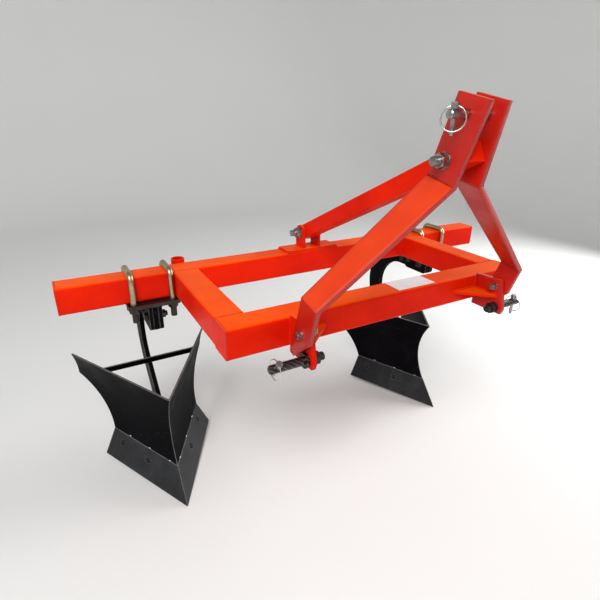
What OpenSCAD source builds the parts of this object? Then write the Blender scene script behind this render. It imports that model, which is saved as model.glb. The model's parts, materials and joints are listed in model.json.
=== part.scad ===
// Two-row ridger for a tractor three-point linkage.
// X runs along the toolbar, -Y is forward to the tractor, +Z is up.
// The origin is on the ground under the middle of the model's plan.

/* [Toolbar and frame] */
// Length of the toolbar over its end caps
toolbar_length = 1640; // [1500:10:2400]
// Height of the toolbar's top face above the share tips
toolbar_top = 772; // [720:1:900]
// Outside size of the square tube
tube_size = 80; // [70:1:100]
// Wall of the square tube
tube_wall = 6; // [4:0.5:8]
// Outer corner radius of the square tube
tube_corner = 8; // [4:0.5:12]
// Thickness of the end caps
cap_thickness = 5; // [3:0.5:8]
// Width of the frame over its side rails
frame_width = 996; // [880:1:1100]
// Toolbar's front face to the front beam's front face
frame_reach = 440; // [360:1:560]

/* [Stand socket] */
// Outside diameter of the socket tube
socket_outer = 42.4; // [34:0.1:60]
// Inside diameter of the socket tube
socket_inner = 35.2; // [26:0.1:50]
// Height of the socket's mouth above the toolbar's top face
socket_rise = 8; // [0:1:40]
// Length of the socket tube
socket_length = 88; // [50:1:160]
// Distance of the socket inward from the frame's left side
socket_inset = 42; // [25:1:200]

/* [Lower hitch] */
// Distance between the outer faces of the hitch plates
hitch_span = 666; // [560:1:760]
// Thickness of a hitch plate
hitch_thickness = 12; // [8:1:20]
// Front beam's front face to the lower pin's axis
pin_forward = 80; // [60:1:120]
// Toolbar's top face down to the lower pin's axis
pin_drop = 77; // [60:1:120]
// Hitch plate's edge below the lower pin's axis
pin_edge_below = 16; // [14:1:40]
// Hitch plate's edge in front of the lower pin's axis
pin_edge_front = 28; // [20:1:60]
// Diameter of the lower link pin
lower_pin = 22; // [18:0.1:28]
// Free length of the lower link pin outside its collar
lower_pin_length = 88; // [70:1:120]
// Diameter of the lower pin's collar
collar = 38; // [32:1:50]
// Thickness of the lower pin's collar
collar_thickness = 9; // [5:1:15]
// Leg of the gusset along the front beam
gusset_beam = 95; // [50:1:160]
// Leg of the gusset along the hitch plate
gusset_plate = 85; // [40:1:100]
// Thickness of the gusset
gusset_thickness = 8; // [5:1:12]

/* [Mast] */
// Gap between the two mast legs at the top link pin
mast_gap = 51; // [44:1:70]
// Thickness of a mast leg
leg_thickness = 12; // [8:1:16]
// Width of a leg at its lower bend
leg_width_low = 64; // [50:1:80]
// Width of a leg at its upper bend and top
leg_width_high = 82; // [60:1:100]
// Front beam's front face to the middle of the lower bend
low_bend_forward = 101; // [80:1:130]
// Toolbar's top face up to the lower bend
low_bend_rise = 71; // [50:1:110]
// Front beam's front face to the middle of the upper bend
high_bend_forward = 132; // [100:1:170]
// Toolbar's top face up to the upper bend
high_bend_rise = 318; // [260:1:380]
// Front beam's front face to the middle of the leg's top
leg_top_forward = 189; // [150:1:240]
// Toolbar's top face up to the middle of the leg's top
leg_top_rise = 490; // [450:1:560]
// How far the right leg's upper bend sits in front of the left one
right_bend_shift = 16; // [-10:1:24]
// How far the right leg's top sits behind the left one
right_top_shift = 8; // [-10:1:16]
// How far the right leg's lower bend sits below the left one
right_low_shift = 14; // [-10:1:24]
// Slope of the bend lines down to the front, in degrees
crease_slope = 12; // [0:1:20]
// Height of the top link pin above the toolbar's top face
top_pin_rise = 455; // [420:1:480]
// Diameter of the top link pin
top_pin = 19; // [16:0.1:25]
// Length of the top link pin left of the left mast leg
top_pin_free = 49; // [35:1:70]
// Diameter of the foot bolts
foot_bolt = 12; // [12:1:20]
// Toolbar's top face down to the foot bolt
foot_bolt_drop = 14; // [5:1:30]

/* [Brace] */
// Width of the brace tube across the machine
brace_width = 50; // [40:1:60]
// Depth of the brace tube
brace_depth = 45; // [35:1:60]
// Wall of the brace tube
brace_wall = 4; // [2.5:0.5:6]
// Toolbar's top face up to the rear brace bolt
rear_bolt_rise = 61; // [50:1:90]
// Toolbar's top face up to the front brace bolt
front_bolt_rise = 363; // [345:1:385]
// Thickness of the plate that closes the brace's front end
brace_cap = 4; // [2.5:0.5:8]
// Tube beyond the front brace bolt
brace_end_front = 50; // [35:1:60]
// Tube beyond the rear brace bolt
brace_end_rear = 30; // [22:1:40]
// Diameter of the brace bolts
brace_bolt = 20; // [16:1:24]
// Length of the base plate along the toolbar
base_length = 200; // [140:1:260]
// Depth of the base plate
base_depth = 70; // [50:1:80]
// Thickness of the base plate
base_thickness = 8; // [5:1:12]
// Thickness of a lug
lug_thickness = 10; // [6:1:14]
// Depth of a lug
lug_depth = 50; // [40:1:60]

/* [Clamp] */
// Diameter of the U-bolt rod
ubolt_rod = 18; // [12:1:20]
// Distance between the two U-bolts of a body
ubolt_pitch = 114; // [100:1:140]
// Gap between the side rail and the nearest U-bolt
ubolt_rail_gap = 2; // [1:1:60]
// Thickness of the clamp plate
clamp_thickness = 12; // [8:1:20]
// Clamp plate's edge beyond the U-bolt rods
clamp_edge = 18; // [14:1:30]
// Rod below the U-bolt nuts
ubolt_tail = 30; // [10:1:50]
// Thickness of a bracket cheek
cheek_thickness = 12; // [8:1:16]
// Length of a bracket cheek
cheek_length = 125; // [110:1:150]
// Diameter of the shank bolts
shank_bolt = 16; // [12:1:20]

/* [Shank] */
// Thickness of the shank
shank_thickness = 16; // [12:1:32]
// Width of the shank
shank_width = 80; // [60:1:90]
// Middle radius of the shank's bend
shank_radius = 170; // [140:1:200]
// Toolbar's front face to the centre of the bend
shank_bend_back = 145; // [130:1:200]
// Height of the shank's aim point behind the share
shank_foot_height = 122; // [90:1:150]

/* [Ridger body] */
// Angle of each wing from straight back, in degrees
wing_angle = 30; // [26:1:36]
// Radius of the wing's curve
wing_radius = 380; // [300:5:600]
// Height of the curve's deepest line
wing_deep_height = 237; // [210:1:260]
// Offset of the curve's deepest line from the shin
wing_offset = 13; // [8:1:20]
// Thickness of a mouldboard
wing_thickness = 6; // [4:1:8]
// Height of the mouldboards at the shin
shin_height = 368; // [320:1:380]
// Height of a mouldboard's rear top corner
wing_tip_height = 400; // [360:1:430]
// Run of a mouldboard's top edge
wing_top_run = 412; // [340:1:480]
// Height of a mouldboard's rear lower corner
wing_low_height = 296; // [250:1:330]
// Run of a mouldboard to its rear lower corner
wing_low_run = 440; // [360:1:500]
// Radius of the hollow cut between wing and share
wing_cut_radius = 400; // [300:5:800]
// Height of the joint at the share's rear end
joint_height = 122; // [100:1:140]
// Run of the share's top edge
share_top_run = 259; // [220:1:300]
// Run of the share's bottom edge
share_low_run = 277; // [230:1:320]
// Height of the share's rear lower corner
heel_height = 24; // [0:1:40]
// Thickness of a share
share_thickness = 8; // [5:1:10]
// Lean of the share's face, in degrees
share_lean = 23; // [15:1:35]
// Diameter of the share bolts
share_bolt = 12; // [8:1:14]
// Thickness of the frog behind share and mouldboard
frog_thickness = 8; // [5:1:12]
// Height of the frog's top above the joint
frog_rise = 60; // [30:1:90]
// Height of the strut bar
strut_height = 20; // [14:1:40]
// Thickness of the strut bar
strut_thickness = 6; // [4:1:12]
// Height of the strut's top above the shin's top
strut_lift = 15; // [0:1:20]
// Gap between the strut and the shank behind it
strut_gap = 10; // [1:1:60]

/* [Lynch pins] */
// Diameter of the peg
peg = 9; // [7:0.5:10]
// Diameter of the peg's head
peg_head = 16; // [14:0.5:20]
// Height of the peg's head
peg_head_height = 12; // [11:0.5:16]
// Length of the peg below the pin it locks
peg_tail = 30; // [20:1:40]
// Middle diameter of the ring
ring_diameter = 48; // [46:1:60]
// Wire of the ring
ring_wire = 3; // [3:0.5:5]
// Turn of the left lower peg about its pin, head forward, in degrees
left_peg_turn = 35; // [0:1:60]
// Turn of the right lower peg about its pin, head forward, in degrees
right_peg_turn = 0; // [0:1:60]
// Turn of the top lynch pin about its own axis, in degrees
top_lynch_turn = 40; // [0:1:45]

/* [Label] */
// Length of the blank label
label_length = 136; // [80:1:200]
// Thickness of the blank label
label_thickness = 1; // [0.5:0.1:2]
// Distance of the label from the machine's middle
label_offset = 18; // [0:1:60]

/* [Hidden] */
$fn = 48;

paint = [0.86, 0.17, 0.03];
black = [0.09, 0.09, 0.10];
zinc = [0.66, 0.60, 0.48];
steel = [0.55, 0.54, 0.53];
dark = [0.22, 0.20, 0.20];

slip = 0.3;                 // face gap of a sliding or bolted fit
hole_play = 0.5;            // radial play of a clearance hole
thread_play = 0.2;          // radial gap between nut and bolt
pin_play = 0.08;            // radial play of a pin that turns
pin_chamfer = 3;            // chamfer on a lower pin's end
stud_washer = 3;            // thickness of the washer on a lower pin's stud
stud_tail = 14;             // stud beyond its nut
frog_lift = 18;             // frog's lower edge above the share's
frog_lap = 2;               // the frog's lower plate runs this far past the joint
share_bore = 4 * (share_thickness + frog_thickness);
shank_lift = 20;            // shank's foot above the share's lower edge
beyond = 1.2 * wing_radius; // reach of the cutting shapes past the body
share_down = -joint_height / 2;  // heights between which the share's plate is drawn
share_up = 1.8 * joint_height;

// before the shift in y, the toolbar's front face is y = 0
beam_y = -frame_reach;      // front face of the front beam
bar_mid = toolbar_top - tube_size / 2;
bar_low = toolbar_top - tube_size;
leg_x = hitch_span / 2;     // inner face of a leg's foot
pin_y = beam_y - pin_forward;
pin_z = toolbar_top - pin_drop;

// leg points in side view, as [y, z]
crease = [-cos(crease_slope), -sin(crease_slope)];
low_bend = [beam_y - low_bend_forward, toolbar_top + low_bend_rise];
high_bend = [beam_y - high_bend_forward, toolbar_top + high_bend_rise];
leg_top = [beam_y - leg_top_forward, toolbar_top + leg_top_rise];
foot_run = (low_bend[1] - pin_z + 10) * 0.3;
foot = [low_bend[0] + foot_run, pin_z - 10];
function low_at(s) = s < 0 ? low_bend : low_bend + [right_low_shift * 0.3, -right_low_shift];
function high_at(s) = s < 0 ? high_bend : high_bend - [right_bend_shift, 0];
function top_at(s) = s < 0 ? leg_top : leg_top + [right_top_shift, 0];
crease_up = [-sin(crease_slope), cos(crease_slope)];
upper_lean = (leg_top[0] - high_bend[0]) / (leg_top[1] - high_bend[1]);
collar_turn = 50;           // slant of the leg's foot, cut clear of the collar
top_pin_z = toolbar_top + top_pin_rise;
top_pin_y = high_bend[0] + upper_lean * (top_pin_z - high_bend[1]);
foot_bolt_z = toolbar_top - foot_bolt_drop;
foot_bolt_y = low_bend[0] + (low_bend[1] - foot_bolt_z) / (low_bend[1] - foot[1]) * foot_run + 6;

// brace, as [y, z]
rear_bolt = [tube_size / 2, toolbar_top + rear_bolt_rise];
front_bolt_z = toolbar_top + front_bolt_rise;
front_bolt = [high_bend[0] + upper_lean * (front_bolt_z - high_bend[1]) + 10, front_bolt_z];
brace_vector = front_bolt - rear_bolt;
brace_span = norm(brace_vector);
brace_length = brace_span + brace_end_rear + brace_end_front;
brace_angle = atan2(brace_vector[1], -brace_vector[0]);

// clamp and shank
ridger_x = frame_width / 2 + ubolt_rail_gap + ubolt_rod / 2 + ubolt_pitch / 2;
ubolt_front = -hole_play - ubolt_rod / 2;
ubolt_rear = tube_size + hole_play + ubolt_rod / 2;
clamp_top = bar_low - slip;
clamp_low = clamp_top - clamp_thickness;
ubolt_nut_height = 0.8 * ubolt_rod;
shank_mid = clamp_low - slip - shank_width / 2;
cheek_front = -20;
shank_front = cheek_front + 6;
bend_centre = [shank_bend_back, shank_mid - shank_radius];
shank_aim = [10, shank_foot_height];
aim_vector = shank_aim - bend_centre;
tangent_angle = atan2(aim_vector[1], aim_vector[0]) + acos(shank_radius / norm(aim_vector));
tangent = bend_centre + shank_radius * [cos(tangent_angle), sin(tangent_angle)];
inner_radius = shank_radius - shank_width / 2;
inner_tangent = bend_centre + inner_radius * [cos(tangent_angle), sin(tangent_angle)];
shank_bolt_y = [cheek_front + 28, cheek_front + cheek_length - 27];

// where the shank's inner edge stands at a height, on its bend or its straight foot
function shank_inner_y(h) = h > inner_tangent[1]
    ? bend_centre[0] + sqrt(max(0, pow(inner_radius, 2) - pow(h - bend_centre[1], 2)))
    : inner_tangent[0] + (h - inner_tangent[1]) * (shank_aim - tangent)[0] / (shank_aim - tangent)[1];

// wing surface: p is the offset outward from the wing's line, h the height
function wing_p(h) = wing_offset + wing_radius - sqrt(pow(wing_radius, 2) - pow(h - wing_deep_height, 2));
joint_p = wing_p(joint_height);
lean_rate = tan(share_lean);
function share_p(h) = joint_p + lean_rate * (joint_height - h);
function shin_run(p) = -p / tan(wing_angle);
joint_slope = 0.058;
function joint_h(s) = joint_height - joint_slope * (share_top_run - s);
tip_run = shin_run(share_p(0));
low_slope = heel_height / (share_low_run - tip_run);
function low_h(s) = low_slope * (s - tip_run);
top_run = shin_run(wing_p(shin_height));
top_slope = (wing_tip_height - shin_height) / (wing_top_run - top_run);
share_bolts = [[share_top_run * 0.26, 0.62], [share_top_run * 0.79, 0.66]];
function bolt_h(b) = low_h(b[0]) + b[1] * (joint_h(b[0]) - low_h(b[0]));
strut_top = shin_height + strut_lift;
strut_y = shank_inner_y(strut_top - strut_height) - strut_gap - strut_thickness / 2;

// plan extent, which puts the origin under the middle
y_front = leg_top[0] + crease[0] * leg_width_high / 2;
y_rear = wing_low_run * cos(wing_angle) - (wing_p(wing_low_height) - wing_thickness) * sin(wing_angle);
y_shift = -(y_front + y_rear) / 2;

// lynch pins
peg_x = leg_x + collar_thickness + lower_pin_length - 20;
top_peg_x = mast_gap / 2 + leg_thickness + top_pin_free - 14;
ring_tilt = asin((peg / 2 + ring_wire / 2 + 0.2) / ring_diameter);
head_bore = ring_wire / 2 + 1.6;

module place() translate([0, y_shift, 0]) children();

// a drawing in [y, z], extruded along X and centred on x = 0
module side(width) rotate([90, 0, 90]) linear_extrude(height = width, center = true) children();

module rounded_square(size, radius) {
    square([size - 2 * radius, size], center = true);
    square([size, size - 2 * radius], center = true);
    for (x = [-1, 1], y = [-1, 1])
        translate([x, y] * (size / 2 - radius)) circle(r = radius);
}

module tube_section()
    difference() {
        rounded_square(tube_size, tube_corner);
        square(tube_size - 2 * tube_wall, center = true);
    }

// six-sided, its corners chamfered at 30 degrees on both faces
module hexagon(width, height, bore = 0)
    difference() {
        intersection() {
            cylinder(h = height, r = width / 2 / cos(30), $fn = 6);
            cylinder(h = height, r1 = 0.475 * width, r2 = 0.475 * width + height * tan(60));
            cylinder(h = height, r1 = 0.475 * width + height * tan(60), r2 = 0.475 * width);
        }
        if (bore > 0) translate([0, 0, -1]) cylinder(h = height + 2, r = bore);
    }

module washer(outer, inner, thickness)
    difference() {
        cylinder(h = thickness, r = outer);
        translate([0, 0, -1]) cylinder(h = thickness + 2, r = inner);
    }

// hexagon bolt whose head's underside is at z = 0 and whose shaft runs down
module hex_bolt(size, length)
    union() {
        hexagon(1.5 * size, 0.64 * size);
        translate([0, 0, -length]) cylinder(h = length + 1, r = size / 2);
    }

module along_x(x, y, z, direction) translate([x, y, z]) rotate([0, direction * 90, 0]) children();

// Frame

module toolbar()
    color(paint) place() translate([0, tube_size / 2, bar_mid])
        side(toolbar_length - 2 * cap_thickness) tube_section();

module cap_at(x, y)
    translate([x, y, bar_mid]) side(cap_thickness) rounded_square(tube_size, tube_corner);

module tube_end_caps()
    color(paint) place() for (s = [-1, 1]) {
        cap_at(s * (toolbar_length - cap_thickness) / 2, tube_size / 2);
        cap_at(s * (frame_width - cap_thickness) / 2, beam_y + tube_size / 2);
    }

module front_beam()
    color(paint) place() translate([0, beam_y + tube_size / 2, bar_mid])
        side(frame_width - 2 * cap_thickness) tube_section();

module side_rail(s)
    color(paint) place() translate([s * (frame_width - tube_size) / 2, 0, bar_mid])
        rotate([90, 0, 0]) linear_extrude(height = frame_reach - tube_size) tube_section();

module stand_socket()
    color(paint) place()
        translate([-frame_width / 2 + socket_inset, tube_size + socket_outer / 2,
            toolbar_top + socket_rise - socket_length])
            difference() {
                cylinder(h = socket_length, d = socket_outer);
                translate([0, 0, -1]) cylinder(h = socket_length + 2, d = socket_inner);
            }

module hitch_plate(s)
    color(paint) place() difference() {
        translate([s * (leg_x - hitch_thickness / 2), 0, 0]) side(hitch_thickness) polygon([
            [beam_y, pin_z - pin_edge_below],
            [beam_y, toolbar_top + 5],
            [pin_y - pin_edge_front + 18, toolbar_top + 10],
            [pin_y - pin_edge_front, pin_z - 1],
            [pin_y - pin_edge_front + 5, pin_z - pin_edge_below]]);
        translate([s * leg_x, pin_y, pin_z]) rotate([0, 90, 0])
            cylinder(h = 3 * hitch_thickness, r = stud / 2 + thread_play, center = true);
        translate([s * leg_x, foot_bolt_y, foot_bolt_z]) rotate([0, 90, 0])
            cylinder(h = 3 * hitch_thickness, r = foot_bolt / 2 + hole_play, center = true);
    }

module hitch_gussets()
    color(paint) place() for (s = [-1, 1])
        translate([0, 0, (pin_z + foot_bolt_z) / 2 + 3 - gusset_thickness / 2])
            linear_extrude(height = gusset_thickness) polygon([
            [s * (leg_x - hitch_thickness), beam_y],
            [s * (leg_x - hitch_thickness - gusset_beam), beam_y],
            [s * (leg_x - hitch_thickness), beam_y - gusset_plate]]);

// Mast

stud = lower_pin - 2;       // threaded end of the lower link pin

// mitred flat strip along the points, drawn from its two offset lines
module bent_strip(points, thickness) {
    last = len(points) - 1;
    unit = [for (i = [0:last - 1]) (points[i + 1] - points[i]) / norm(points[i + 1] - points[i])];
    out = [for (i = [0:last]) let (u = unit[max(i - 1, 0)], v = unit[min(i, last - 1)],
        n = [-u[1] - v[1], u[0] + v[0]])
        n / (1 + u * v) * thickness / 2];
    polygon(concat([for (i = [0:last]) points[i] + out[i]], [for (i = [last:-1:0]) points[i] - out[i]]));
}

module leg_outline(s) {
    w_low = crease * leg_width_low / 2;
    w_high = crease * leg_width_high / 2;
    polygon([foot - w_low, low_at(s) - w_low, high_at(s) - w_high, top_at(s) - w_high,
        top_at(s) + w_high, high_at(s) + w_high, low_at(s) + w_low, foot + w_low]);
}

// space kept free round the lower pin's collar, in side view
module collar_space() {
    reach = leg_width_low * 2;
    translate([pin_y, pin_z]) rotate(collar_turn) translate([collar / 2 + 2 - reach, -reach])
        square([reach, 2 * reach]);
}

module mast_leg(s)
    color(paint) place() difference() {
        intersection() {
            side(2 * hitch_span) difference() {
                leg_outline(s);
                collar_space();
            }
            translate([0, low_at(s)[0], low_at(s)[1]]) rotate([crease_slope, 0, 0]) rotate([90, 0, 0])
                linear_extrude(height = 4 * leg_width_high, center = true)
                    bent_strip([[s * (leg_x + leg_thickness / 2), -3 * low_bend_rise - pin_drop],
                        [s * (leg_x + leg_thickness / 2), 0],
                        [s * (mast_gap + leg_thickness) / 2, (high_at(s) - low_at(s)) * crease_up],
                        [s * (mast_gap + leg_thickness) / 2,
                            (high_at(s) - low_at(s)) * crease_up + leg_top_rise]],
                        leg_thickness);
        }
        translate([s * leg_x, foot_bolt_y, foot_bolt_z]) rotate([0, 90, 0])
            cylinder(h = 4 * leg_thickness, r = foot_bolt / 2 + hole_play, center = true);
        translate([0, top_pin_y, top_pin_z]) rotate([0, 90, 0])
            cylinder(h = 4 * mast_gap, r = top_pin / 2 + pin_play, center = true);
        translate([0, front_bolt[0], front_bolt[1]]) rotate([0, 90, 0])
            cylinder(h = 4 * mast_gap, r = brace_bolt / 2 + hole_play, center = true);
    }

foot_washer = 3;
foot_grip = leg_thickness + hitch_thickness + 2 * foot_washer;

module foot_bolts()
    color(steel) place() for (s = [-1, 1])
        along_x(s * (leg_x + leg_thickness + foot_washer), foot_bolt_y, foot_bolt_z, s)
            hex_bolt(foot_bolt, foot_grip + 0.8 * foot_bolt + 8);

module foot_nuts()
    color(steel) place() for (s = [-1, 1])
        along_x(s * (leg_x - hitch_thickness - foot_washer), foot_bolt_y, foot_bolt_z, -s)
            hexagon(1.5 * foot_bolt, 0.8 * foot_bolt, foot_bolt / 2 + thread_play);

module foot_washers()
    color(steel) place() for (s = [-1, 1]) {
        along_x(s * (leg_x + leg_thickness), foot_bolt_y, foot_bolt_z, s)
            washer(0.94 * foot_bolt, foot_bolt / 2 + hole_play, foot_washer);
        along_x(s * (leg_x - hitch_thickness), foot_bolt_y, foot_bolt_z, -s)
            washer(0.94 * foot_bolt, foot_bolt / 2 + hole_play, foot_washer);
    }

// Brace

module brace_tube()
    color(paint) place() difference() {
        translate([0, rear_bolt[0], rear_bolt[1]]) rotate([-brace_angle, 0, 0])
            translate([0, brace_end_rear, 0]) rotate([90, 0, 0]) difference() {
                linear_extrude(height = brace_length) square([brace_width, brace_depth], center = true);
                translate([0, 0, -1]) linear_extrude(height = brace_length - brace_cap + 1)
                    square([brace_width - 2 * brace_wall, brace_depth - 2 * brace_wall], center = true);
            }
        for (b = [rear_bolt, front_bolt])
            translate([0, b[0], b[1]]) rotate([0, 90, 0])
                cylinder(h = 2 * brace_width, r = brace_bolt / 2 + hole_play, center = true);
    }

module brace_base_plate()
    color(paint) place() translate([-base_length / 2, (tube_size - base_depth) / 2, toolbar_top])
        cube([base_length, base_depth, base_thickness]);

lug_gap = max(brace_width + 1, mast_gap);

module brace_lugs()
    color(paint) place() for (s = [-1, 1]) difference() {
        translate([s * (lug_gap + lug_thickness) / 2, 0, 0]) side(lug_thickness) {
            translate([rear_bolt[0] - lug_depth / 2, toolbar_top + base_thickness])
                square([lug_depth, rear_bolt_rise - base_thickness]);
            translate(rear_bolt) circle(d = lug_depth);
        }
        translate([0, rear_bolt[0], rear_bolt[1]]) rotate([0, 90, 0])
            cylinder(h = 4 * lug_gap, r = brace_bolt / 2 + hole_play, center = true);
    }

brace_washer = 3;
lug_face = lug_gap / 2 + lug_thickness;
mast_face = mast_gap / 2 + leg_thickness;

module brace_bolts()
    color(steel) place() for (b = [[rear_bolt, lug_face], [front_bolt, mast_face]])
        along_x(b[1] + brace_washer, b[0][0], b[0][1], 1)
            hex_bolt(brace_bolt, 2 * (b[1] + brace_washer) + 0.8 * brace_bolt + 16);

module brace_nuts()
    color(steel) place() for (b = [[rear_bolt, lug_face], [front_bolt, mast_face]])
        along_x(-b[1] - brace_washer, b[0][0], b[0][1], -1)
            hexagon(1.5 * brace_bolt, 0.8 * brace_bolt, brace_bolt / 2 + thread_play);

module brace_washers()
    color(steel) place() for (b = [[rear_bolt, lug_face], [front_bolt, mast_face]], s = [-1, 1])
        along_x(s * b[1], b[0][0], b[0][1], s)
            washer(0.92 * brace_bolt, brace_bolt / 2 + hole_play, brace_washer);

// Lower link pins

module at_lower_peg(s)
    translate([s * peg_x, pin_y, pin_z]) rotate([s < 0 ? left_peg_turn : right_peg_turn, 0, 0]) children();

module lower_link_pin(s)
    color(dark) place() difference() {
        translate([s * leg_x, pin_y, pin_z]) rotate([0, s * 90, 0]) {
            cylinder(h = collar_thickness, d = collar);
            translate([0, 0, collar_thickness - 1])
                cylinder(h = lower_pin_length + 1 - pin_chamfer, d = lower_pin);
            translate([0, 0, collar_thickness + lower_pin_length - pin_chamfer])
                cylinder(h = pin_chamfer, r1 = lower_pin / 2, r2 = lower_pin / 2 - pin_chamfer);
            translate([0, 0, -hitch_thickness - stud_washer - 0.8 * stud - stud_tail])
                cylinder(h = hitch_thickness + stud_washer + 0.8 * stud + stud_tail + 1, d = stud);
        }
        at_lower_peg(s) cylinder(h = 3 * lower_pin, r = peg / 2 + thread_play, center = true);
    }

module lower_link_nuts()
    color(dark) place() for (s = [-1, 1])
        along_x(s * (leg_x - hitch_thickness - stud_washer), pin_y, pin_z, -s)
            hexagon(1.55 * stud, 0.8 * stud, stud / 2 + thread_play);

module lower_link_washers()
    color(dark) place() for (s = [-1, 1])
        along_x(s * (leg_x - hitch_thickness), pin_y, pin_z, -s)
            washer(0.78 * stud, stud / 2 + hole_play, stud_washer);

// Lynch pins

// peg through a pin of radius r, head up; the ring turns in the head's bore
module lynch_peg(r)
    difference() {
        union() {
            translate([0, 0, -r - peg_tail + peg / 2]) cylinder(h = 2 * r + peg_tail, d = peg);
            translate([0, 0, -r - peg_tail]) cylinder(h = peg / 2, r1 = peg / 4, r2 = peg / 2);
            translate([0, 0, r + thread_play]) cylinder(h = peg_head_height, d = peg_head);
        }
        translate([0, 0, r + thread_play + peg_head_height / 2]) rotate([90, 0, 0])
            cylinder(h = 3 * peg_head, r = head_bore, center = true);
    }

module lynch_ring(r, s)
    translate([0, 0, r + thread_play + peg_head_height / 2]) rotate([0, -s * ring_tilt, 0])
        translate([0, 0, -ring_diameter / 2]) rotate([0, 90, 0])
            rotate_extrude() translate([ring_diameter / 2, 0]) circle(d = ring_wire, $fn = 24);

module lower_lynch_pegs()
    color(steel) place() for (s = [-1, 1]) at_lower_peg(s) lynch_peg(lower_pin / 2);

module lower_lynch_ring(s)
    color(steel) place() at_lower_peg(s) lynch_ring(lower_pin / 2, s);

module top_link_pin()
    color(steel) place() difference() {
        translate([0, top_pin_y, top_pin_z]) rotate([0, 90, 0]) {
            translate([0, 0, -mast_face - top_pin_free + 2])
                cylinder(h = 2 * mast_face + top_pin_free - 2 + slip + 1, d = top_pin);
            translate([0, 0, -mast_face - top_pin_free])
                cylinder(h = 2, r1 = top_pin / 2 - 2, r2 = top_pin / 2);
            translate([0, 0, mast_face + slip]) cylinder(h = 8, d = 1.7 * top_pin);
        }
        translate([-top_peg_x, top_pin_y, top_pin_z])
            cylinder(h = 3 * top_pin, r = peg / 2 + thread_play, center = true);
    }

module top_lynch_peg()
    color(steel) place() translate([-top_peg_x, top_pin_y, top_pin_z]) rotate([0, 0, top_lynch_turn])
        lynch_peg(top_pin / 2);

module top_lynch_ring()
    color(steel) place() translate([-top_peg_x, top_pin_y, top_pin_z]) rotate([0, 0, top_lynch_turn])
        lynch_ring(top_pin / 2, -1);

module label_plate()
    color([0.93, 0.93, 0.9]) place()
        translate([label_offset, beam_y + tube_corner + 1, toolbar_top])
            cube([label_length, tube_size - 2 * tube_corner - 2, label_thickness]);

// Ridger body, drawn about its own x = 0

module at_body(s) place() translate([s * ridger_x, 0, 0]) children();

// the wing's own frame: X is the offset p, Y the run s, Z the height h
module wing(w) mirror([w < 0 ? 1 : 0, 0, 0]) rotate([0, 0, -wing_angle]) children();

module half_space(w) translate([w > 0 ? 0 : -2 * beyond, -2 * beyond, -2 * beyond])
    cube([2 * beyond, 4 * beyond, 4 * beyond]);

// a drawing in [p, h], extruded along the wing's run
module along_wing() translate([0, 2 * beyond, 0]) rotate([90, 0, 0]) linear_extrude(height = 4 * beyond)
    children();

// a drawing in [s, h], extruded through the wing's offset
module across_wing() translate([-beyond, 0, 0]) rotate([90, 0, 90]) linear_extrude(height = 2 * beyond)
    children();

module wing_band(near, far)
    intersection() {
        translate([wing_offset + wing_radius, wing_deep_height]) difference() {
            circle(r = wing_radius + far, $fn = 144);
            circle(r = wing_radius + near, $fn = 144);
        }
        translate([-wing_radius, -wing_thickness]) square([1.75 * wing_radius, 2.3 * wing_deep_height]);
    }

module share_band(near, far) {
    k = 1 / cos(share_lean);
    polygon([[share_p(share_down) - near * k, share_down], [share_p(share_up) - near * k, share_up],
        [share_p(share_up) - far * k, share_up], [share_p(share_down) - far * k, share_down]]);
}

// everything in front of a surface that lies 'far' behind the soil face
module ahead_of_wing(far) {
    translate([wing_offset + wing_radius, wing_deep_height]) circle(r = wing_radius + far, $fn = 144);
    translate([wing_offset + wing_radius, -beyond]) square([beyond, 3 * beyond]);
}

module ahead_of_share(far) {
    k = 1 / cos(share_lean);
    polygon([[share_p(share_down) - far * k, share_down], [share_p(share_up) - far * k, share_up],
        [2 * beyond, share_up], [2 * beyond, share_down]]);
}

module above_joint(lift = 0)
    polygon([[-beyond, joint_h(-beyond) + lift], [2 * beyond, joint_h(2 * beyond) + lift],
        [2 * beyond, 2 * beyond], [-beyond, 2 * beyond]]);

module below_joint(lift = 0)
    polygon([[-beyond, joint_h(-beyond) - lift], [2 * beyond, joint_h(2 * beyond) - lift],
        [2 * beyond, -beyond], [-beyond, -beyond]]);

corner_low = [wing_low_run, wing_low_height];
corner_share = [share_top_run, joint_height];
cut_chord = corner_low - corner_share;
cut_middle = (corner_low + corner_share) / 2
    + [cut_chord[1], -cut_chord[0]] / norm(cut_chord)
        * sqrt(pow(wing_cut_radius, 2) - pow(norm(cut_chord) / 2, 2));

rear_edge = corner_low - [wing_top_run, wing_tip_height];
mouldboard_foot = share_top_run + joint_height / 4;

module mouldboard_outline()
    polygon([[-beyond, shin_height + top_slope * (-beyond - top_run)], [wing_top_run, wing_tip_height],
        corner_low + rear_edge * 0.3, [mouldboard_foot, joint_h(mouldboard_foot)],
            [-beyond, joint_h(-beyond)]]);

module share_outline()
    intersection() {
        polygon([[-beyond, low_h(-beyond)], [share_low_run, heel_height], [share_top_run, joint_height],
            [-beyond, joint_h(-beyond)]]);
        below_joint(slip);
    }

module mouldboard(w)
    difference() {
        wing(w) difference() {
            intersection() {
                along_wing() wing_band(0, wing_thickness);
                across_wing() mouldboard_outline();
            }
            across_wing() translate(cut_middle) circle(r = wing_cut_radius, $fn = 96);
        }
        half_space(-w);
    }

module share(w)
    difference() {
        intersection() {
            wing(w) intersection() {
                along_wing() share_band(0, share_thickness);
                across_wing() share_outline();
            }
            half_space(w);
        }
        for (b = share_bolts) at_share_bolt(b, w) share_bolt_space();
    }

frog_run = share_bolts[1][0] + 2.2 * share_bolt;
frog_top = joint_height + frog_rise;

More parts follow.
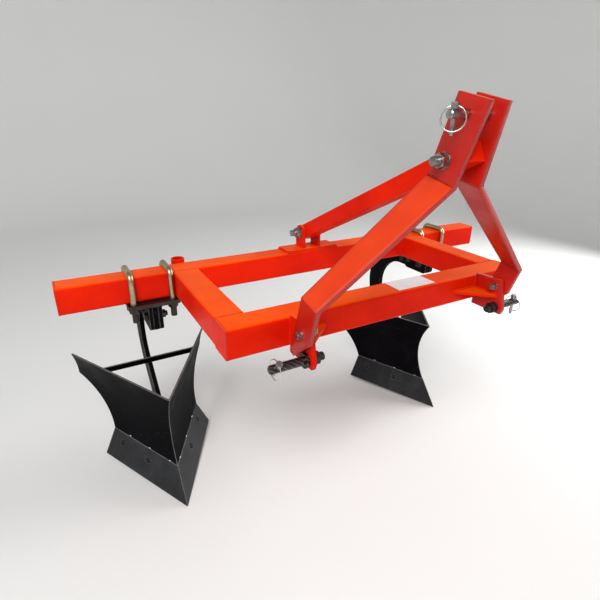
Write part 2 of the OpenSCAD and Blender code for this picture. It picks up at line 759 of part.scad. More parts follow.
module frog_leaf(w)
    difference() {
        intersection() {
            wing(w) {
                intersection() {
                    along_wing() share_band(share_thickness, share_thickness + frog_thickness);
                    across_wing() intersection() {
                        polygon([[-beyond, low_h(-beyond) + frog_lift],
                            [frog_run, low_h(frog_run) + frog_lift], [frog_run, beyond],
                            [-beyond, beyond]]);
                        below_joint(-frog_lap);
                    }
                }
                intersection() {
                    along_wing() wing_band(wing_thickness, wing_thickness + frog_thickness);
                    across_wing() intersection() {
                        polygon([[-beyond, -beyond], [frog_run * 0.62, -beyond],
                            [frog_run * 0.62, frog_top], [-beyond, frog_top]]);
                        above_joint();
                    }
                }
            }
            half_space(w);
        }
        for (b = share_bolts) at_share_bolt(b, w) translate([0, 0, -share_bore])
            cylinder(h = share_bore + share_thickness, r = share_bolt / 2 + hole_play);
    }

module at_share_bolt(b, w)
    wing(w) translate([share_p(bolt_h(b)), b[0], bolt_h(b)]) rotate([0, 90 - share_lean, 0]) children();

// countersunk hole in the share, its mouth on the soil face
module share_bolt_space() {
    translate([0, 0, -share_bore]) cylinder(h = share_bore + share_thickness, r = share_bolt / 2 + hole_play);
    translate([0, 0, -share_bolt / 2 - 0.5])
        cylinder(h = share_bolt / 2 + 1, r1 = share_bolt / 2, r2 = share_bolt + 1);
}

module share_bolt_solid()
    union() {
        translate([0, 0, -share_bolt / 2 - 0.5])
            cylinder(h = share_bolt / 2, r1 = share_bolt / 2 - hole_play, r2 = share_bolt - hole_play);
        translate([0, 0, -share_thickness - frog_thickness - 0.8 * share_bolt - 4])
            cylinder(h = share_thickness + frog_thickness + 0.8 * share_bolt + 3, r = share_bolt / 2);
    }

module frog()
    color(black) union() { frog_leaf(-1); frog_leaf(1); }

module shares() color(black) for (w = [-1, 1]) share(w);

module share_bolts_set() color(dark) for (w = [-1, 1], b = share_bolts) at_share_bolt(b, w)
    share_bolt_solid();

module share_nuts_set()
    color(dark) for (w = [-1, 1], b = share_bolts) at_share_bolt(b, w)
        translate([0, 0, -share_thickness - frog_thickness - 0.8 * share_bolt])
            hexagon(1.5 * share_bolt, 0.8 * share_bolt, share_bolt / 2 + thread_play);

module strut()
    color(black) difference() {
        translate([-wing_top_run, strut_y - strut_thickness / 2, strut_top - strut_height])
            cube([2 * wing_top_run, strut_thickness, strut_height]);
        for (w = [-1, 1]) wing(w) along_wing() ahead_of_wing(wing_thickness);
    }

module shank_profile() {
    half = shank_width / 2;
    reach = 3 * shank_radius;
    translate([shank_front, shank_mid - half]) square([shank_bend_back - shank_front, shank_width]);
    intersection() {
        translate(bend_centre) difference() {
            circle(r = shank_radius + half, $fn = 96);
            circle(r = shank_radius - half, $fn = 96);
        }
        polygon(concat([bend_centre],
            [for (i = [0:3]) let (a = 90 + (tangent_angle - 90) * i / 3)
                bend_centre + reach * [cos(a), sin(a)]]));
    }
    translate(tangent) rotate(tangent_angle)
        translate([-half, -norm(shank_aim - tangent) - 2 * shank_width])
        square([shank_width, norm(shank_aim - tangent) + 2 * shank_width]);
}

module shank()
    color(black) difference() {
        side(shank_thickness) difference() {
            shank_profile();
            translate([-beyond, -beyond]) square([2 * beyond, beyond + shank_lift + low_h(0)]);
        }
        for (w = [-1, 1]) wing(w) {
            intersection() {
                along_wing() ahead_of_wing(wing_thickness + frog_thickness);
                across_wing() above_joint();
            }
            intersection() {
                along_wing() ahead_of_share(share_thickness + frog_thickness);
                across_wing() below_joint(-frog_lap);
            }
        }
        for (y = shank_bolt_y) translate([0, y, shank_mid]) rotate([0, 90, 0])
            cylinder(h = 3 * shank_thickness, r = shank_bolt / 2 + hole_play, center = true);
    }

cheek_gap = shank_thickness + 2 * slip;
cheek_face = cheek_gap / 2 + cheek_thickness;
cheek_round = 15;

module shank_bracket()
    color(black) for (s = [-1, 1]) difference() {
        translate([s * (cheek_gap + cheek_thickness) / 2, 0, 0]) side(cheek_thickness) {
            translate([cheek_front, shank_mid - shank_width / 2 + cheek_round - 2])
                square([cheek_length, clamp_low - shank_mid + shank_width / 2 - cheek_round + 2]);
            translate([cheek_front + cheek_round, shank_mid - shank_width / 2 - 2])
                square([cheek_length - 2 * cheek_round, 2 * cheek_round]);
            for (y = [cheek_front + cheek_round, cheek_front + cheek_length - cheek_round])
                translate([y, shank_mid - shank_width / 2 + cheek_round - 2]) circle(r = cheek_round);
        }
        for (y = shank_bolt_y) translate([0, y, shank_mid]) rotate([0, 90, 0])
            cylinder(h = 6 * cheek_thickness, r = shank_bolt / 2 + hole_play, center = true);
    }

module shank_bolts()
    color(dark) for (y = shank_bolt_y) along_x(-cheek_face, y, shank_mid, -1)
        hex_bolt(shank_bolt, 2 * cheek_face + 0.8 * shank_bolt + 6);

module shank_nuts()
    color(dark) for (y = shank_bolt_y) along_x(cheek_face, y, shank_mid, 1)
        hexagon(1.5 * shank_bolt, 0.8 * shank_bolt, shank_bolt / 2 + thread_play);

module clamp_plate()
    color(dark) difference() {
        translate([-ubolt_pitch / 2 - clamp_edge, ubolt_front - clamp_edge, clamp_low])
            cube([ubolt_pitch + 2 * clamp_edge, ubolt_rear - ubolt_front + 2 * clamp_edge, clamp_thickness]);
        for (x = [-1, 1], y = [ubolt_front, ubolt_rear])
            translate([x * ubolt_pitch / 2, y, clamp_low - 1])
                cylinder(h = clamp_thickness + 2, r = ubolt_rod / 2 + hole_play);
    }

module ubolt() {
    bend = tube_corner + ubolt_rod / 2;
    top = toolbar_top + slip + ubolt_rod / 2;
    low = clamp_low - ubolt_nut_height - ubolt_tail;
    for (y = [ubolt_front, ubolt_rear]) translate([0, y, low]) cylinder(h = top - bend - low, d = ubolt_rod);
    translate([0, ubolt_front + bend, top]) rotate([-90, 0, 0])
        cylinder(h = ubolt_rear - ubolt_front - 2 * bend, d = ubolt_rod);
    for (m = [0, 1]) translate([0, tube_size / 2, top - bend]) mirror([0, m, 0])
        translate([0, (ubolt_rear - ubolt_front) / 2 - bend, 0]) rotate([90, 0, 90])
            rotate_extrude(angle = 90) translate([bend, 0]) circle(d = ubolt_rod, $fn = 32);
}

module ubolts() color(zinc) for (x = [-1, 1]) translate([x * ubolt_pitch / 2, 0, 0]) ubolt();

module ubolt_nuts()
    color(dark) for (x = [-1, 1], y = [ubolt_front, ubolt_rear])
        translate([x * ubolt_pitch / 2, y, clamp_low - ubolt_nut_height])
            hexagon(1.5 * ubolt_rod, ubolt_nut_height, ubolt_rod / 2 + thread_play);

toolbar();
tube_end_caps();
front_beam();
side_rail(-1);  // side_rail_left
side_rail(1);  // side_rail_right
stand_socket();
hitch_plate(-1);  // hitch_plate_left
hitch_plate(1);  // hitch_plate_right
hitch_gussets();
mast_leg(-1);  // mast_leg_left
mast_leg(1);  // mast_leg_right
foot_bolts();
foot_nuts();
foot_washers();
brace_tube();
brace_base_plate();
brace_lugs();
brace_bolts();
brace_nuts();
brace_washers();
lower_link_pin(-1);  // lower_link_pin_left
lower_link_pin(1);  // lower_link_pin_right
lower_link_nuts();
lower_link_washers();
lower_lynch_pegs();
label_plate();
top_link_pin();
top_lynch_peg();
top_lynch_ring();
lower_lynch_ring(-1);  // lower_lynch_ring_left
lower_lynch_ring(1);  // lower_lynch_ring_right
at_body(-1) ubolts();  // ubolts_left
at_body(-1) ubolt_nuts();  // ubolt_nuts_left
at_body(-1) clamp_plate();  // clamp_plate_left
at_body(-1) shank_bracket();  // shank_bracket_left
at_body(-1) shank_bolts();  // shank_bolts_left
at_body(-1) shank_nuts();  // shank_nuts_left
at_body(-1) shank();  // shank_left
at_body(-1) frog();  // frog_left
at_body(-1) shares();  // shares_left
color(black) at_body(-1) mouldboard(-1);  // mouldboard_left_outer
color(black) at_body(-1) mouldboard(1);  // mouldboard_left_inner
at_body(-1) share_bolts_set();  // share_bolts_left
at_body(-1) share_nuts_set();  // share_nuts_left
at_body(-1) strut();  // strut_left
at_body(1) ubolts();  // ubolts_right
at_body(1) ubolt_nuts();  // ubolt_nuts_right
at_body(1) clamp_plate();  // clamp_plate_right
at_body(1) shank_bracket();  // shank_bracket_right
at_body(1) shank_bolts();  // shank_bolts_right
at_body(1) shank_nuts();  // shank_nuts_right
at_body(1) shank();  // shank_right
at_body(1) frog();  // frog_right
at_body(1) shares();  // shares_right
color(black) at_body(1) mouldboard(1);  // mouldboard_right_outer
color(black) at_body(1) mouldboard(-1);  // mouldboard_right_inner
at_body(1) share_bolts_set();  // share_bolts_right
at_body(1) share_nuts_set();  // share_nuts_right
at_body(1) strut();  // strut_right
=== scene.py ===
import json
import math
import bpy
from mathutils import Vector, Matrix
from mathutils.bvhtree import BVHTree


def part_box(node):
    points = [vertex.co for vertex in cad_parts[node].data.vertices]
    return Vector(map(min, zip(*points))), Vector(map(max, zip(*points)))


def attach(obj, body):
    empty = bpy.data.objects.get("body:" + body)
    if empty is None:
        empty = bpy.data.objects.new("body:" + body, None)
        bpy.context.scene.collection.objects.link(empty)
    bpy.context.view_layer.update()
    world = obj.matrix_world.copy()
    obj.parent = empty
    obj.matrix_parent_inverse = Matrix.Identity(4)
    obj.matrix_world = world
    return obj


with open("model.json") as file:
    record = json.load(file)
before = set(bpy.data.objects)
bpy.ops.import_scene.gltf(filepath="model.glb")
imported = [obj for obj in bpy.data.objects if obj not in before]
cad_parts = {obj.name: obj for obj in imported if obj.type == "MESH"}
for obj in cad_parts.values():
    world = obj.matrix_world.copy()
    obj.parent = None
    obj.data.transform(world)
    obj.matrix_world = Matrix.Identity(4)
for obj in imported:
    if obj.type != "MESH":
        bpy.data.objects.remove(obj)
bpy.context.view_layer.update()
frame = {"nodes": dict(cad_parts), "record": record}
nodes = frame["nodes"]
slots = {part["node"]: part["material_slot"] for part in frame["record"]["subparts"]}
print("loaded", len(nodes), "nodes")


# small helpers for node trees
def put(tree, kind, props=None, **inputs):
    node = tree.nodes.new(kind)
    for key, value in (props or {}).items():
        setattr(node, key, value)
    for key, value in inputs.items():
        feed(tree, node, key, value)
    return node


def feed(tree, node, key, value):
    # an input goes by its name, with _ for a space, or by its number, as n0 or n1
    numbered = key[0] == "n" and key[1:].isdigit()
    socket = node.inputs[int(key[1:]) if numbered else key.replace("_", " ")]
    if isinstance(value, bpy.types.NodeSocket):
        tree.links.new(value, socket)
    else:
        socket.default_value = value


def startMaterial(name):
    # an empty material, its tree, and the place of each point on its piece
    material = bpy.data.materials.new(name)
    material.use_nodes = True
    tree = material.node_tree
    tree.nodes.clear()
    return material, tree, put(tree, "ShaderNodeTexCoord").outputs["Object"]


def noise(tree, place, scale, detail=4.0, rough=0.5, distort=0.0):
    return put(tree, "ShaderNodeTexNoise", Vector=place, Scale=scale, Detail=detail, Roughness=rough,
               Distortion=distort).outputs["Fac"]


def ramp(tree, value, low, high, fromValue=0.0, toValue=1.0):
    return put(tree, "ShaderNodeMapRange", {"clamp": True}, Value=value, From_Min=low, From_Max=high,
               To_Min=fromValue, To_Max=toValue).outputs[0]


def maths(tree, operation, a, b):
    return put(tree, "ShaderNodeMath", {"operation": operation}, n0=a, n1=b).outputs[0]


def mixColour(tree, fac, a, b):
    # inputs 6 and 7 and output 2 are the node's colours
    node = put(tree, "ShaderNodeMix", {"data_type": "RGBA", "blend_type": "MIX", "clamp_factor": True})
    feed(tree, node, "n0", fac)
    feed(tree, node, "n6", a)
    feed(tree, node, "n7", b)
    return node.outputs[2]


def upFacing(tree):
    # 1 on a face that looks up, 0 on an upright one
    normal = put(tree, "ShaderNodeNewGeometry").outputs["Normal"]
    return put(tree, "ShaderNodeSeparateXYZ", Vector=normal).outputs["Z"]


def softNormal(tree, radius):
    # the normal of a surface whose edges are rounded to a radius
    return put(tree, "ShaderNodeBevel", {"samples": 4}, Radius=radius).outputs[0]


def edgeMask(tree, radius, low, high):
    # 1 near an edge, where the rounded normal leaves the face's own, and 0 on a flat
    soft = softNormal(tree, radius)
    flat = put(tree, "ShaderNodeNewGeometry").outputs["Normal"]
    together = put(tree, "ShaderNodeVectorMath", {"operation": "DOT_PRODUCT"}, n0=soft, n1=flat)
    return ramp(tree, together.outputs["Value"], high, low)


def relief(tree, place, fine, broad, weight):
    # height of a bump: fine grain over broader waves
    waves = maths(tree, "MULTIPLY", noise(tree, place, *broad), weight)
    return maths(tree, "ADD", noise(tree, place, *fine), waves)


def bump(tree, height, radius, strength, distance):
    return put(tree, "ShaderNodeBump", Strength=strength, Distance=distance, Height=height,
               Normal=softNormal(tree, radius)).outputs[0]


def wearLimits(look):
    # more wear lets the effect start lower on its pattern
    return [limit - look["wearShift"] * look["wear"] for limit in look["wearRange"]]


def patchyRoughness(tree, cloud, look):
    # smoother and duller patches either side of the finish's own roughness
    smoother, duller = look["roughSpread"]
    return ramp(tree, cloud, *look["roughRange"], look["roughness"] + smoother, look["roughness"] + duller)


def finishSurface(material, tree, **inputs):
    shader = put(tree, "ShaderNodeBsdfPrincipled", **inputs)
    output = put(tree, "ShaderNodeOutputMaterial")
    tree.links.new(shader.outputs[0], output.inputs[0])
    return material


def rgb(red, green, blue):
    return (red, green, blue, 1.0)


# in the looks, a pattern is a noise: features per metre, detail, roughness and distortion
# a range says where on its pattern an effect starts and where it is full; lengths are in metres
orangeLook = {
    "colour": rgb(0.78, 0.016, 0.0004),
    "deep": rgb(0.62, 0.008, 0.0012),
    "fadedAndLitTop": rgb(0.95, 0.098, 0.0006),
    "chipped": rgb(0.10, 0.045, 0.030),
    "cloud": (5.0, 5.0, 0.55),
    "deepRange": (0.35, 0.68),
    "paintedTopLightFacing": (0.5, 1.0),   # painted top light, partly sun-faded paint: it grows from upright faces to those that look up
    "paintedTopLightCloud": (0.75, 0.3, 0.55, 1.0),    # a range on the cloud, then the painted top light and fading at its two ends
    "edgeRadius": 0.0022,
    "edgeRange": (0.80, 0.985),
    "speck": (95.0, 5.0, 0.65),
    "wear": 0.55,
    "wearRange": (0.50, 0.56),
    "wearShift": 0.12,
    "stray": (60.0, 6.0, 0.7),
    "strayRange": (0.745, 0.765),
    "dust": (14.0, 6.0, 0.6),
    "dustRange": (0.40, 0.75),
    "roughness": 0.30,
    "dustRoughness": 0.16,      # what dust and chips add to the roughness
    "chipRoughness": 0.35,
    "gloss": 0.04,
    "coat": 0.03,
    "coatRoughness": 0.08,
    "peel": ((260.0, 2.0), (30.0, 3.0), 1.6),
    "peelStrength": 0.10,
    "peelDistance": 0.0012,
    "chipDepth": 0.8,
    "softness": 0.0016,         # how round the edges look
}

# a darker, glossier copy of the orange: partly the mast's own crimson tone, partly painted shade
mastAndShadeLook = {
    **orangeLook,
    "colour": rgb(0.52, 0.011, 0.003),
    "deep": rgb(0.42, 0.007, 0.003),
    "fadedAndLitTop": rgb(0.93, 0.080, 0.004),
    "gloss": 0.36,
    "coat": 0.12,
    "softness": 0.012,
}


def orangePaint(name, look):
    material, tree, place = startMaterial(name)
    cloud = noise(tree, place, *look["cloud"])
    colour = mixColour(tree, ramp(tree, cloud, *look["deepRange"]), look["colour"], look["deep"])
    # painted top light: faces that look up turn lighter and more orange in patches, partly as sun-faded paint
    upward = ramp(tree, upFacing(tree), *look["paintedTopLightFacing"])
    fadedAndLitTop = maths(tree, "MULTIPLY", upward, ramp(tree, cloud, *look["paintedTopLightCloud"]))
    colour = mixColour(tree, fadedAndLitTop, colour, look["fadedAndLitTop"])
    # chips show the primer where a worn edge and a speck meet, and here and there on a flat
    speck = noise(tree, place, *look["speck"])
    edge = edgeMask(tree, look["edgeRadius"], *look["edgeRange"])
    chip = ramp(tree, maths(tree, "MULTIPLY", edge, speck), *wearLimits(look))
    stray = ramp(tree, noise(tree, place, *look["stray"]), *look["strayRange"])
    chip = maths(tree, "MAXIMUM", chip, stray)
    colour = mixColour(tree, chip, colour, look["chipped"])
    dust = ramp(tree, noise(tree, place, *look["dust"]), *look["dustRange"])
    rough = maths(tree, "ADD", look["roughness"], maths(tree, "MULTIPLY", dust, look["dustRoughness"]))
    rough = maths(tree, "ADD", rough, maths(tree, "MULTIPLY", chip, look["chipRoughness"]))
    peel = relief(tree, place, *look["peel"])
    height = maths(tree, "SUBTRACT", peel, maths(tree, "MULTIPLY", chip, look["chipDepth"]))
    normal = bump(tree, height, look["softness"], look["peelStrength"], look["peelDistance"])
    return finishSurface(material, tree, Base_Color=colour, Roughness=rough, Normal=normal,
                         Specular_IOR_Level=look["gloss"], Coat_Weight=look["coat"],
                         Coat_Roughness=look["coatRoughness"])


blackLook = {
    "colour": rgb(0.0022, 0.0019, 0.0027),
    "scuffed": rgb(0.0050, 0.0045, 0.0062),
    "bare": rgb(0.30, 0.29, 0.28),
    "cloud": (7.0, 6.0, 0.6),
    "scuffRange": (0.45, 0.72),
    "scratchStretch": (14.0, 14.0, 160.0),
    "scratch": (3.0, 7.0, 0.7, 0.6),
    "scratchRange": (0.63, 0.72),
    "scratchShow": 0.35,
    "edgeRadius": 0.0028,
    "edgeRange": (0.72, 0.97),
    "speck": (70.0, 5.0, 0.65),
    "speckLift": 0.25,          # added to the specks, so that an edge wears between them too
    "wear": 0.80,
    "wearRange": (0.62, 0.70),
    "wearShift": 0.3,
    "upRange": (0.80, 0.95),
    "upSpeck": (0.30, 0.62, 0.35, 0.95),    # a range on the specks, then the rubbing and painted highlight at its two ends
    "rubbedAndHighlight": 0.55,             # how much lighter faces that look up are made: partly paint rubbed away, partly a painted highlight
    "bareShine": 0.4,
    "roughness": 0.44,
    "roughRange": (0.3, 0.75),
    "roughSpread": (-0.06, 0.16),
    "scratchRoughness": 0.12,
    "gloss": 0.03,
    "grain": ((220.0, 3.0), (24.0, 4.0), 1.4),
    "grainStrength": 0.16,
    "grainDistance": 0.0012,
    "softness": 0.5,            # share of edgeRadius that the edges look rounded by
}

shareLook = {
    **blackLook,
    "colour": rgb(0.0055, 0.0058, 0.008),
    "scuffed": rgb(0.032, 0.035, 0.040),
    "bare": rgb(0.34, 0.34, 0.34),
    "edgeRadius": 0.0034,
    "wear": 0.95,
    "roughness": 0.42,
    "gloss": 0.36,
    "grain": ((180.0, 3.0), (24.0, 4.0), 1.4),
}


def blackPaint(name, look):
    material, tree, place = startMaterial(name)
    cloud = noise(tree, place, *look["cloud"])
    colour = mixColour(tree, ramp(tree, cloud, *look["scuffRange"]), look["colour"], look["scuffed"])
    stretched = put(tree, "ShaderNodeMapping", Vector=place, Scale=look["scratchStretch"]).outputs[0]
    scratch = ramp(tree, noise(tree, stretched, *look["scratch"]), *look["scratchRange"])
    colour = mixColour(tree, maths(tree, "MULTIPLY", scratch, look["scratchShow"]), colour, look["bare"])
    # edges are worn bare in specks
    speck = noise(tree, place, *look["speck"])
    edge = edgeMask(tree, look["edgeRadius"], *look["edgeRange"])
    worn = maths(tree, "MULTIPLY", edge, maths(tree, "ADD", speck, look["speckLift"]))
    wear = ramp(tree, worn, *wearLimits(look))
    # thin edges that face up are made lightest, partly by rubbed paint, partly by a painted highlight
    upward = ramp(tree, upFacing(tree), *look["upRange"])
    upward = maths(tree, "MULTIPLY", upward, ramp(tree, speck, *look["upSpeck"]))
    wear = maths(tree, "MAXIMUM", wear, maths(tree, "MULTIPLY", upward, look["rubbedAndHighlight"]))
    colour = mixColour(tree, wear, colour, look["bare"])
    shine = maths(tree, "MULTIPLY", wear, look["bareShine"])
    rough = patchyRoughness(tree, cloud, look)
    rough = maths(tree, "ADD", rough, maths(tree, "MULTIPLY", scratch, look["scratchRoughness"]))
    grain = relief(tree, place, *look["grain"])
    height = maths(tree, "SUBTRACT", grain, maths(tree, "ADD", wear, scratch))
    normal = bump(tree, height, look["edgeRadius"] * look["softness"], look["grainStrength"],
                  look["grainDistance"])
    return finishSurface(material, tree, Base_Color=colour, Metallic=shine, Roughness=rough, Normal=normal,
                         Specular_IOR_Level=look["gloss"])


# plated steel, and what the other metals share with it
steelLook = {
    "colour": rgb(0.44, 0.43, 0.43),
    "stained": rgb(0.055, 0.045, 0.042),
    # the colour of grime spots, and of the dirt and painted shade below a height
    "grimeAndShade": rgb(0.018, 0.011, 0.008),
    "cloud": (38.0, 6.0, 0.62),
    "stain": 0.80,
    "stainRange": (0.40, 0.75),
    "spot": (26.0, 7.0, 0.72),
    "spotRange": (0.60, 0.74),
    "shadeAndDirtCover": 0.0,           # how much dirt and painted shade darken the piece below the height, 0 for none
    "shadeAndDirtHeight": 0.0,
    "shadeAndDirtWaver": 0.010,
    "shadeAndDirtEdge": 0.004,
    "roughness": 0.26,
    "roughRange": (0.3, 0.8),
    "roughSpread": (-0.06, 0.16),
    "grimeRoughness": 0.25,
    "grimeDulling": 0.75,
    "grain": ((420.0, 3.0), (60.0, 4.0), 0.9),
    "grainStrength": 0.16,
    "grainDistance": 0.0007,
    "softness": 0.0009,
    "turned": 0.0,              # turning marks per metre, 0 for none
}

darkSteelLook = {
    **steelLook,
    "colour": rgb(0.065, 0.055, 0.052),
    "stained": rgb(0.030, 0.020, 0.016),
    "stain": 0.60,
    "roughness": 0.46,
}

turnedSteelLook = {
    **darkSteelLook,
    "roughness": 0.34,
    "turned": 42.0,
    "turnWaver": 1.2,
    "turnDetail": 2.0,
    "turnDepth": 2.2,
    "turnRange": (0.75, 0.98),
    "turnShow": 0.75,
    # lighter stripes on the turning marks: partly rubbed metal, partly a painted highlight
    "rubbedAndHighlight": rgb(0.28, 0.26, 0.25),
}

zincLook = {
    **steelLook,
    "colour": rgb(0.48, 0.40, 0.255),
    "stained": rgb(0.20, 0.15, 0.085),
    "stain": 0.55,
    # painted shade under the clamp plate, partly dirt: rods and nuts below this height are darkened
    "shadeAndDirtCover": 0.97,
    "shadeAndDirtHeight": 0.688,
    "roughness": 0.30,
}

wireLook = {
    **steelLook,
    "colour": rgb(0.70, 0.70, 0.70),
    "stained": rgb(0.30, 0.29, 0.28),
    "stain": 0.30,
    "roughness": 0.14,
}


def metal(name, look):
    material, tree, place = startMaterial(name)
    cloud = noise(tree, place, *look["cloud"])
    stain = ramp(tree, cloud, *look["stainRange"], 0.0, look["stain"])
    shade = mixColour(tree, stain, look["colour"], look["stained"])
    # rust and grime gather in spots; below a height the piece is darkened, partly by dirt, partly by painted
    # shade
    spot = ramp(tree, noise(tree, place, *look["spot"]), *look["spotRange"], 0.0, look["stain"])
    height = put(tree, "ShaderNodeSeparateXYZ", Vector=place).outputs["Z"]
    level = maths(tree, "ADD", look["shadeAndDirtHeight"], maths(tree, "MULTIPLY", cloud, look["shadeAndDirtWaver"]))
    above = maths(tree, "SUBTRACT", height, level)
    shadeAndDirt = ramp(tree, above, look["shadeAndDirtEdge"], -look["shadeAndDirtEdge"], 0.0, look["shadeAndDirtCover"])
    spot = maths(tree, "MAXIMUM", spot, shadeAndDirt)
    shade = mixColour(tree, spot, shade, look["grimeAndShade"])
    rough = patchyRoughness(tree, cloud, look)
    rough = maths(tree, "ADD", rough, maths(tree, "MULTIPLY", spot, look["grimeRoughness"]))
    grain = relief(tree, place, *look["grain"])
    if look["turned"]:
        # marks left by turning, wound slantwise round the piece, with lighter stripes that are partly rubbed
        # metal, partly a painted highlight
        bands = {"wave_type": "BANDS", "bands_direction": "DIAGONAL", "wave_profile": "TRI"}
        marks = put(tree, "ShaderNodeTexWave", bands, Vector=place, Scale=look["turned"],
                    Distortion=look["turnWaver"], Detail=look["turnDetail"]).outputs["Fac"]
        grain = maths(tree, "ADD", grain, maths(tree, "MULTIPLY", marks, look["turnDepth"]))
        shade = mixColour(tree, ramp(tree, marks, *look["turnRange"], 0.0, look["turnShow"]), shade,
                          look["rubbedAndHighlight"])
    shine = maths(tree, "SUBTRACT", 1.0, maths(tree, "MULTIPLY", spot, look["grimeDulling"]))
    normal = bump(tree, grain, look["softness"], look["grainStrength"], look["grainDistance"])
    return finishSurface(material, tree, Base_Color=shade, Metallic=shine, Roughness=rough, Normal=normal)


labelLook = {
    "colour": rgb(0.93, 0.94, 0.94),
    "fadedAndLitTop": rgb(0.76, 0.76, 0.75),
    "cloud": (30.0, 5.0, 0.6),
    "fadeRange": (0.35, 0.8),
    "roughCloud": (0.3, 0.8, 0.35, 0.55),   # a range on the cloud, then the roughness at its two ends
    "grainScale": 300.0,
    "grainStrength": 0.05,
    "grainDistance": 0.0004,
}


def plainLabel(name, look):
    material, tree, place = startMaterial(name)
    cloud = noise(tree, place, *look["cloud"])
    colour = mixColour(tree, ramp(tree, cloud, *look["fadeRange"]), look["colour"], look["fadedAndLitTop"])
    rough = ramp(tree, cloud, *look["roughCloud"])
    normal = put(tree, "ShaderNodeBump", Strength=look["grainStrength"], Distance=look["grainDistance"],
                 Height=noise(tree, place, look["grainScale"])).outputs[0]
    return finishSurface(material, tree, Base_Color=colour, Roughness=rough, Normal=normal)


looks = {
    "orange_paint": orangePaint("orangePaint", orangeLook),
    "black_paint": blackPaint("blackPaint", blackLook),
    "plated_steel": metal("platedSteel", steelLook),
    "dark_steel": metal("darkSteel", darkSteelLook),
    "yellow_zinc": metal("yellowZinc", zincLook),
    "chrome_wire": metal("chromeWire", wireLook),
    "label": plainLabel("plainLabel", labelLook),
}

# nodes whose finish differs from that of their slot
sharePaint = blackPaint("sharePaint", shareLook)
turnedSteel = metal("turnedSteel", turnedSteelLook)
mastAndShadePaint = orangePaint("mastAndShadePaint", mastAndShadeLook)
special = {
    # painted shade: the mast legs take the darker mast paint partly for their own crimson tone, and the right
    # hitch plate takes it for shade alone
    "mast_leg_left": mastAndShadePaint,
    "mast_leg_right": mastAndShadePaint,
    "hitch_plate_right": mastAndShadePaint,
    "lower_link_pin_left": turnedSteel,
    "lower_link_pin_right": turnedSteel,
    "shares_left": sharePaint,
    "shares_right": sharePaint,
    "share_bolts_left": looks["black_paint"],
    "share_bolts_right": looks["black_paint"],
}

for name, node in nodes.items():
    node.data.materials.clear()
    node.data.materials.append(special.get(name, looks[slots[name]]))
print("materials assigned")


# welds: scale-like beads laid along lines on the plates
weldLook = {
    "frameSize": 0.0030,        # half width of a frame weld, in metres
    "seamSize": 0.0012,         # half width of the ground seam round an end cap
    "bodySize": 0.0032,         # half width of a weld on a ridger body
    "step": 0.0021,             # distance from bead to bead
    "uneven": 0.22,             # how much beads differ in size
    "flat": 0.8,                # a bead's length along its line, as a share of its width
    "frameSeed": 3,
    "seamSeed": 4,
    "mastSeed": 5,
    "bodySeed": 11,             # the left ridger's, and one more for the right's
    "tackSeed": 21,
    "skin": 0.0004,             # how far a line stands off the plates
    "corner": 0.008,            # corner radius of the frame tubes
    "grooveIn": 0.0030,         # over a rail, a weld sits in the groove by a tube's rounded edge:
    "grooveDown": 0.0024,       # this far in from the tube's face, and this far below its top
    "underIn": 0.0015,          # under a rail, a weld lies this far in from the tube's face
    "uboltRoom": 0.016,         # and by the toolbar it ends this far short of the rail's outer side
    "gussetFront": 0.006,       # how far a weld along the hitch plate ends short of the gusset's front
    "gussetRear": 0.003,        # and short of the beam
    "gussetGap": 0.004,         # the weld along the beam runs from this far off the plate
    "gussetReach": 0.092,       # to this far
    "lugInset": 0.002,          # how far a lug's weld ends short of the lug's two ends
    "baseRise": 0.0006,         # height of the base plate's weld over the toolbar
    "socketHalf": 0.0125,       # half the distance between the stand socket's two welds
    "socketBehind": 0.0020,     # how far behind the toolbar they lie
    "seamOut": 0.0004,          # how far a cap's seam stands off the tube's end
    "seamSink": 0.0002,         # and how far it is sunk below the tube's sides
    "beamSeamPoints": 11,       # the front beam's seam runs over its top and down its front alone
}


def startTree(name, **inputs):
    # a geometry tree and its inputs: lengths and shares, whole numbers, or where None a material
    kinds = {float: "NodeSocketFloat", int: "NodeSocketInt", type(None): "NodeSocketMaterial"}
    tree = bpy.data.node_groups.new(name, "GeometryNodeTree")
    tree.interface.new_socket("Geometry", in_out="INPUT", socket_type="NodeSocketGeometry")
    for key, value in inputs.items():
        label = key.replace("_", " ")
        socket = tree.interface.new_socket(label, in_out="INPUT", socket_type=kinds[type(value)])
        if value is not None:
            socket.default_value = value
    tree.interface.new_socket("Geometry", in_out="OUTPUT", socket_type="NodeSocketGeometry")
    return tree, put(tree, "NodeGroupInput").outputs


def alongLines(tree, lines, step, axis):
    # points a step apart on the lines, and the turn that lays an axis along them
    curve = put(tree, "GeometryNodeMeshToCurve", Mesh=lines).outputs[0]
    steps = put(tree, "GeometryNodeResampleCurve", {"mode": "LENGTH"}, Curve=curve, Length=step).outputs[0]
    points = put(tree, "GeometryNodeCurveToPoints", {"mode": "EVALUATED"}, Curve=steps).outputs
    turn = put(tree, "FunctionNodeAlignRotationToVector", {"axis": axis}, Vector=points["Tangent"]).outputs[0]
    return points["Points"], turn


def endTree(tree, geometry, material):
    solid = put(tree, "GeometryNodeRealizeInstances", Geometry=geometry).outputs[0]
    return put(tree, "GeometryNodeSetMaterial", Geometry=solid, Material=material).outputs[0]


